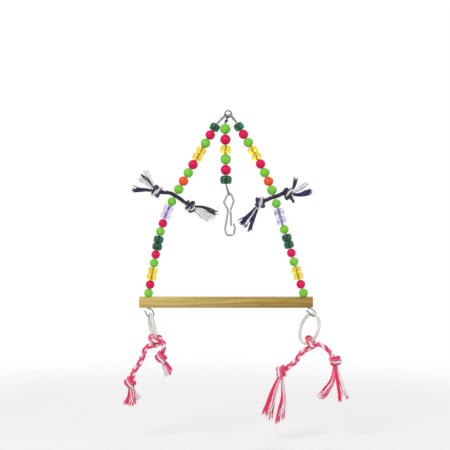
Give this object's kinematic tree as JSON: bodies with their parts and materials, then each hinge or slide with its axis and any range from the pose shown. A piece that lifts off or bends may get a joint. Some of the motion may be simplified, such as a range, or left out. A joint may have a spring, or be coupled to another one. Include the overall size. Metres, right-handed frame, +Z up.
{
  "type": "bird toy",
  "caption": "Hanging triangle perch toy for a cage bird: wooden dowel on two beaded wire legs, a beaded snap hook strand, and knotted cotton ropes.",
  "frame": {"origin": "middle of the apex ring, where the toy hangs", "axes": "+Z up as the toy hangs, X along the perch with its left end at -X seen from the front, front towards -Y"},
  "size_m": [0.1931, 0.0354, 0.2731],
  "materials": {
    "clear": "transparent, glossy",
    "green": "transparent, glossy",
    "lime": "opaque, glossy",
    "navy_cotton": "navy, black and white cotton strands",
    "orange": "translucent, glossy",
    "pink": "opaque, glossy",
    "pink_cotton": "pink and white braided cotton",
    "steel": "bright plated wire",
    "white_plastic": "smooth moulded",
    "wood": "plain turned dowel",
    "yellow": "transparent, glossy"
  },
  "bodies": {
    "swing_frame": {"perch": "wood", "left_leg_wire": "steel", "right_leg_wire": "steel"},
    "apex_ring": {"apex_ring": "steel"},
    "hook_strand": {"hook_wire": "steel"},
    "snap_hook": {"snap_hook": "steel"},
    "snap_gate": {"snap_gate": "steel"},
    "left_ring": {"left_ring": "white_plastic"},
    "right_ring": {"right_ring": "white_plastic"},
    "left_rope": {"left_pink_rope": "pink_cotton", "left_low_knot": "pink_cotton", "left_high_knot": "pink_cotton"},
    "right_rope": {"right_pink_rope": "pink_cotton", "right_low_knot": "pink_cotton", "right_high_knot": "pink_cotton"},
    "left_cross_rope": {"left_cross_rope": "navy_cotton"},
    "right_cross_rope": {"right_cross_rope": "navy_cotton"},
    "left_bead_01_green": {"left_bead_01_green": "green"},
    "left_bead_02_pink": {"left_bead_02_pink": "pink"},
    "left_bead_03_lime": {"left_bead_03_lime": "lime"},
    "left_beads_04_05_yellow": {"left_beads_04_05_yellow": "yellow"},
    "left_bead_06_pink": {"left_bead_06_pink": "pink"},
    "left_bead_07_lime": {"left_bead_07_lime": "lime"},
    "left_bead_08_orange": {"left_bead_08_orange": "orange"},
    "left_bead_09_lime": {"left_bead_09_lime": "lime"},
    "left_bead_10_lime": {"left_bead_10_lime": "lime"},
    "left_beads_11_12_clear": {"left_beads_11_12_clear": "clear"},
    "left_bead_13_pink": {"left_bead_13_pink": "pink"},
    "left_bead_14_lime": {"left_bead_14_lime": "lime"},
    "left_beads_15_16_green": {"left_beads_15_16_green": "green"},
    "left_bead_17_pink": {"left_bead_17_pink": "pink"},
    "left_bead_18_lime": {"left_bead_18_lime": "lime"},
    "left_beads_19_20_yellow": {"left_beads_19_20_yellow": "yellow"},
    "left_bead_21_pink": {"left_bead_21_pink": "pink"},
    "left_bead_22_lime": {"left_bead_22_lime": "lime"},
    "right_bead_01_green": {"right_bead_01_green": "green"},
    "right_bead_02_pink": {"right_bead_02_pink": "pink"},
    "right_bead_03_lime": {"right_bead_03_lime": "lime"},
    "right_beads_04_05_yellow": {"right_beads_04_05_yellow": "yellow"},
    "right_bead_06_pink": {"right_bead_06_pink": "pink"},
    "right_bead_07_lime": {"right_bead_07_lime": "lime"},
    "right_bead_08_orange": {"right_bead_08_orange": "orange"},
    "right_bead_09_lime": {"right_bead_09_lime": "lime"},
    "right_bead_10_lime": {"right_bead_10_lime": "lime"},
    "right_beads_11_12_clear": {"right_beads_11_12_clear": "clear"},
    "right_bead_13_lime": {"right_bead_13_lime": "lime"},
    "right_beads_14_15_green": {"right_beads_14_15_green": "green"},
    "right_bead_16_pink": {"right_bead_16_pink": "pink"},
    "right_bead_17_lime": {"right_bead_17_lime": "lime"},
    "right_beads_18_19_yellow": {"right_beads_18_19_yellow": "yellow"},
    "right_bead_20_pink": {"right_bead_20_pink": "pink"},
    "right_bead_21_lime": {"right_bead_21_lime": "lime"},
    "hook_bead_01_lime": {"hook_bead_01_lime": "lime"},
    "hook_bead_02_pink": {"hook_bead_02_pink": "pink"},
    "hook_bead_03_yellow": {"hook_bead_03_yellow": "yellow"},
    "hook_bead_04_lime": {"hook_bead_04_lime": "lime"},
    "hook_bead_05_pink": {"hook_bead_05_pink": "pink"},
    "hook_bead_06_green": {"hook_bead_06_green": "green"}
  },
  "joints": [
    {"name": "apex_ring_swing", "type": "hinge", "parent": "swing_frame", "child": "apex_ring", "pos_m": [0, 0, -0.00156], "axis": [1, 0, 0], "range_deg": [-20, 20]},
    {"name": "hook_strand_swing", "type": "hinge", "parent": "apex_ring", "child": "hook_strand", "pos_m": [-0.00041, 0, -0.00292], "axis": [1, 0, 0], "range_deg": [-45, 45]},
    {"name": "left_cross_rope_turn", "type": "hinge", "parent": "swing_frame", "child": "left_cross_rope", "pos_m": [-0.04672, 0, -0.07185], "axis": [0.4805, 0, 0.877], "continuous": true},
    {"name": "right_cross_rope_turn", "type": "hinge", "parent": "swing_frame", "child": "right_cross_rope", "pos_m": [0.0406, 0, -0.07306], "axis": [-0.3127, 0, 0.9499], "continuous": true},
    {"name": "left_ring_swing", "type": "hinge", "parent": "swing_frame", "child": "left_ring", "pos_m": [-0.0686, 0, -0.1759], "axis": [1, 0, 0], "range_deg": [-30, 30]},
    {"name": "left_rope_swing", "type": "hinge", "parent": "left_ring", "child": "left_rope", "pos_m": [-0.0631, -0.00997, -0.1971], "axis": [-0.0032, 0.6022, -0.7983], "range_deg": [-45, 45]},
    {"name": "right_ring_swing", "type": "hinge", "parent": "swing_frame", "child": "right_ring", "pos_m": [0.075, 0, -0.1759], "axis": [1, 0, 0], "range_deg": [-30, 10]},
    {"name": "right_rope_swing", "type": "hinge", "parent": "right_ring", "child": "right_rope", "pos_m": [0.07165, -0.01009, -0.19959], "axis": [-0.5655, 0.6562, -0.4997], "range_deg": [-45, 45]},
    {"name": "snap_gate_open", "type": "hinge", "parent": "snap_hook", "child": "snap_gate", "pos_m": [0.00195, 0, -0.0847], "axis": [0, 1, 0], "range_deg": [0, 12], "stiffness_Nm_per_rad": 0.02, "springref_deg": -11.46},
    {"name": "snap_hook_swing", "type": "hinge", "parent": "hook_strand", "child": "snap_hook", "pos_m": [0.00052, 0, -0.07019], "axis": [1, 0, 0], "range_deg": [-90, 90]},
    {"name": "spin_left_bead_01_green", "type": "hinge", "parent": "swing_frame", "child": "left_bead_01_green", "pos_m": [-0.01185, 0, -0.01172], "axis": [0.5018, 0, 0.865], "continuous": true},
    {"name": "spin_left_bead_02_pink", "type": "hinge", "parent": "swing_frame", "child": "left_bead_02_pink", "pos_m": [-0.01575, 0, -0.01845], "axis": [0.5018, 0, 0.865], "continuous": true},
    {"name": "spin_left_bead_03_lime", "type": "hinge", "parent": "swing_frame", "child": "left_bead_03_lime", "pos_m": [-0.01995, 0, -0.02568], "axis": [0.5018, 0, 0.865], "continuous": true},
    {"name": "spin_left_beads_04_05_yellow", "type": "hinge", "parent": "swing_frame", "child": "left_beads_04_05_yellow", "pos_m": [-0.02543, 0, -0.03513], "axis": [0.5018, 0, 0.865], "continuous": true},
    {"name": "spin_left_bead_06_pink", "type": "hinge", "parent": "swing_frame", "child": "left_bead_06_pink", "pos_m": [-0.03092, 0, -0.04459], "axis": [0.5018, 0, 0.865], "continuous": true},
    {"name": "spin_left_bead_07_lime", "type": "hinge", "parent": "swing_frame", "child": "left_bead_07_lime", "pos_m": [-0.03511, 0, -0.05182], "axis": [0.5018, 0, 0.865], "continuous": true},
    {"name": "spin_left_bead_08_orange", "type": "hinge", "parent": "swing_frame", "child": "left_bead_08_orange", "pos_m": [-0.03931, 0, -0.05905], "axis": [0.5018, 0, 0.865], "continuous": true},
    {"name": "spin_left_bead_09_lime", "type": "hinge", "parent": "swing_frame", "child": "left_bead_09_lime", "pos_m": [-0.0435, 0, -0.06628], "axis": [0.5018, 0, 0.865], "continuous": true},
    {"name": "spin_left_bead_10_lime", "type": "hinge", "parent": "swing_frame", "child": "left_bead_10_lime", "pos_m": [-0.04952, 0, -0.07715], "axis": [0.458, 0, 0.8889], "continuous": true},
    {"name": "spin_left_beads_11_12_clear", "type": "hinge", "parent": "swing_frame", "child": "left_beads_11_12_clear", "pos_m": [-0.0538, 0, -0.08662], "axis": [0.3845, 0, 0.9231], "continuous": true},
    {"name": "spin_left_bead_13_pink", "type": "hinge", "parent": "swing_frame", "child": "left_bead_13_pink", "pos_m": [-0.05752, 0, -0.09632], "axis": [0.3102, 0, 0.9507], "continuous": true},
    {"name": "spin_left_bead_14_lime", "type": "hinge", "parent": "swing_frame", "child": "left_bead_14_lime", "pos_m": [-0.05962, 0, -0.10351], "axis": [0.2497, 0, 0.9683], "continuous": true},
    {"name": "spin_left_beads_15_16_green", "type": "hinge", "parent": "swing_frame", "child": "left_beads_15_16_green", "pos_m": [-0.06182, 0, -0.11357], "axis": [0.1926, 0, 0.9813], "continuous": true},
    {"name": "spin_left_bead_17_pink", "type": "hinge", "parent": "swing_frame", "child": "left_bead_17_pink", "pos_m": [-0.06376, 0, -0.12368], "axis": [0.1831, 0, 0.9831], "continuous": true},
    {"name": "spin_left_bead_18_lime", "type": "hinge", "parent": "swing_frame", "child": "left_bead_18_lime", "pos_m": [-0.06514, 0, -0.13106], "axis": [0.1831, 0, 0.9831], "continuous": true},
    {"name": "spin_left_beads_19_20_yellow", "type": "hinge", "parent": "swing_frame", "child": "left_beads_19_20_yellow", "pos_m": [-0.06691, 0, -0.14059], "axis": [0.1831, 0, 0.9831], "continuous": true},
    {"name": "spin_left_bead_21_pink", "type": "hinge", "parent": "swing_frame", "child": "left_bead_21_pink", "pos_m": [-0.06869, 0, -0.15013], "axis": [0.1831, 0, 0.9831], "continuous": true},
    {"name": "spin_left_bead_22_lime", "type": "hinge", "parent": "swing_frame", "child": "left_bead_22_lime", "pos_m": [-0.07006, 0, -0.1575], "axis": [0.1831, 0, 0.9831], "continuous": true},
    {"name": "spin_right_bead_01_green", "type": "hinge", "parent": "swing_frame", "child": "right_bead_01_green", "pos_m": [0.00945, 0, -0.01114], "axis": [-0.5092, 0, 0.8606], "continuous": true},
    {"name": "spin_right_bead_02_pink", "type": "hinge", "parent": "swing_frame", "child": "right_bead_02_pink", "pos_m": [0.01341, 0, -0.01783], "axis": [-0.5092, 0, 0.8606], "continuous": true},
    {"name": "spin_right_bead_03_lime", "type": "hinge", "parent": "swing_frame", "child": "right_bead_03_lime", "pos_m": [0.01767, 0, -0.02503], "axis": [-0.5092, 0, 0.8606], "continuous": true},
    {"name": "spin_right_beads_04_05_yellow", "type": "hinge", "parent": "swing_frame", "child": "right_beads_04_05_yellow", "pos_m": [0.02317, 0, -0.03447], "axis": [-0.4996, 0, 0.8662], "continuous": true},
    {"name": "spin_right_bead_06_pink", "type": "hinge", "parent": "swing_frame", "child": "right_bead_06_pink", "pos_m": [0.02847, 0, -0.04403], "axis": [-0.4598, 0, 0.888], "continuous": true},
    {"name": "spin_right_bead_07_lime", "type": "hinge", "parent": "swing_frame", "child": "right_bead_07_lime", "pos_m": [0.03215, 0, -0.05153], "axis": [-0.42, 0, 0.9075], "continuous": true},
    {"name": "spin_right_bead_08_orange", "type": "hinge", "parent": "swing_frame", "child": "right_bead_08_orange", "pos_m": [0.03549, 0, -0.05919], "axis": [-0.3794, 0, 0.9253], "continuous": true},
    {"name": "spin_right_bead_09_lime", "type": "hinge", "parent": "swing_frame", "child": "right_bead_09_lime", "pos_m": [0.03849, 0, -0.06699], "axis": [-0.338, 0, 0.9412], "continuous": true},
    {"name": "spin_right_bead_10_lime", "type": "hinge", "parent": "swing_frame", "child": "right_bead_10_lime", "pos_m": [0.04242, 0, -0.07884], "axis": [-0.2917, 0, 0.9565], "continuous": true},
    {"name": "spin_right_beads_11_12_clear", "type": "hinge", "parent": "swing_frame", "child": "right_beads_11_12_clear", "pos_m": [0.04587, 0, -0.09023], "axis": [-0.2898, 0, 0.9571], "continuous": true},
    {"name": "spin_right_bead_13_lime", "type": "hinge", "parent": "swing_frame", "child": "right_bead_13_lime", "pos_m": [0.04932, 0, -0.10162], "axis": [-0.2898, 0, 0.9571], "continuous": true},
    {"name": "spin_right_beads_14_15_green", "type": "hinge", "parent": "swing_frame", "child": "right_beads_14_15_green", "pos_m": [0.05245, 0, -0.11196], "axis": [-0.2898, 0, 0.9571], "continuous": true},
    {"name": "spin_right_bead_16_pink", "type": "hinge", "parent": "swing_frame", "child": "right_bead_16_pink", "pos_m": [0.05558, 0, -0.1223], "axis": [-0.2898, 0, 0.9571], "continuous": true},
    {"name": "spin_right_bead_17_lime", "type": "hinge", "parent": "swing_frame", "child": "right_bead_17_lime", "pos_m": [0.05789, 0, -0.12992], "axis": [-0.2898, 0, 0.9571], "continuous": true},
    {"name": "spin_right_beads_18_19_yellow", "type": "hinge", "parent": "swing_frame", "child": "right_beads_18_19_yellow", "pos_m": [0.0609, 0, -0.13987], "axis": [-0.2898, 0, 0.9571], "continuous": true},
    {"name": "spin_right_bead_20_pink", "type": "hinge", "parent": "swing_frame", "child": "right_bead_20_pink", "pos_m": [0.06392, 0, -0.14983], "axis": [-0.2898, 0, 0.9571], "continuous": true},
    {"name": "spin_right_bead_21_lime", "type": "hinge", "parent": "swing_frame", "child": "right_bead_21_lime", "pos_m": [0.06622, 0, -0.15745], "axis": [-0.2898, 0, 0.9571], "continuous": true},
    {"name": "spin_hook_bead_01_lime", "type": "hinge", "parent": "hook_strand", "child": "hook_bead_01_lime", "pos_m": [-0.00255, 0, -0.01316], "axis": [-0.0133, 0, 0.9999], "continuous": true},
    {"name": "spin_hook_bead_02_pink", "type": "hinge", "parent": "hook_strand", "child": "hook_bead_02_pink", "pos_m": [-0.00243, 0, -0.02252], "axis": [-0.0133, 0, 0.9999], "continuous": true},
    {"name": "spin_hook_bead_03_yellow", "type": "hinge", "parent": "hook_strand", "child": "hook_bead_03_yellow", "pos_m": [-0.00231, 0, -0.03117], "axis": [-0.0133, 0, 0.9999], "continuous": true},
    {"name": "spin_hook_bead_04_lime", "type": "hinge", "parent": "hook_strand", "child": "hook_bead_04_lime", "pos_m": [-0.0022, 0, -0.03983], "axis": [-0.0133, 0, 0.9999], "continuous": true},
    {"name": "spin_hook_bead_05_pink", "type": "hinge", "parent": "hook_strand", "child": "hook_bead_05_pink", "pos_m": [-0.00208, 0, -0.04919], "axis": [-0.0133, 0, 0.9999], "continuous": true},
    {"name": "spin_hook_bead_06_green", "type": "hinge", "parent": "hook_strand", "child": "hook_bead_06_green", "pos_m": [-0.00196, 0, -0.05794], "axis": [-0.0133, 0, 0.9999], "continuous": true}
  ]
}
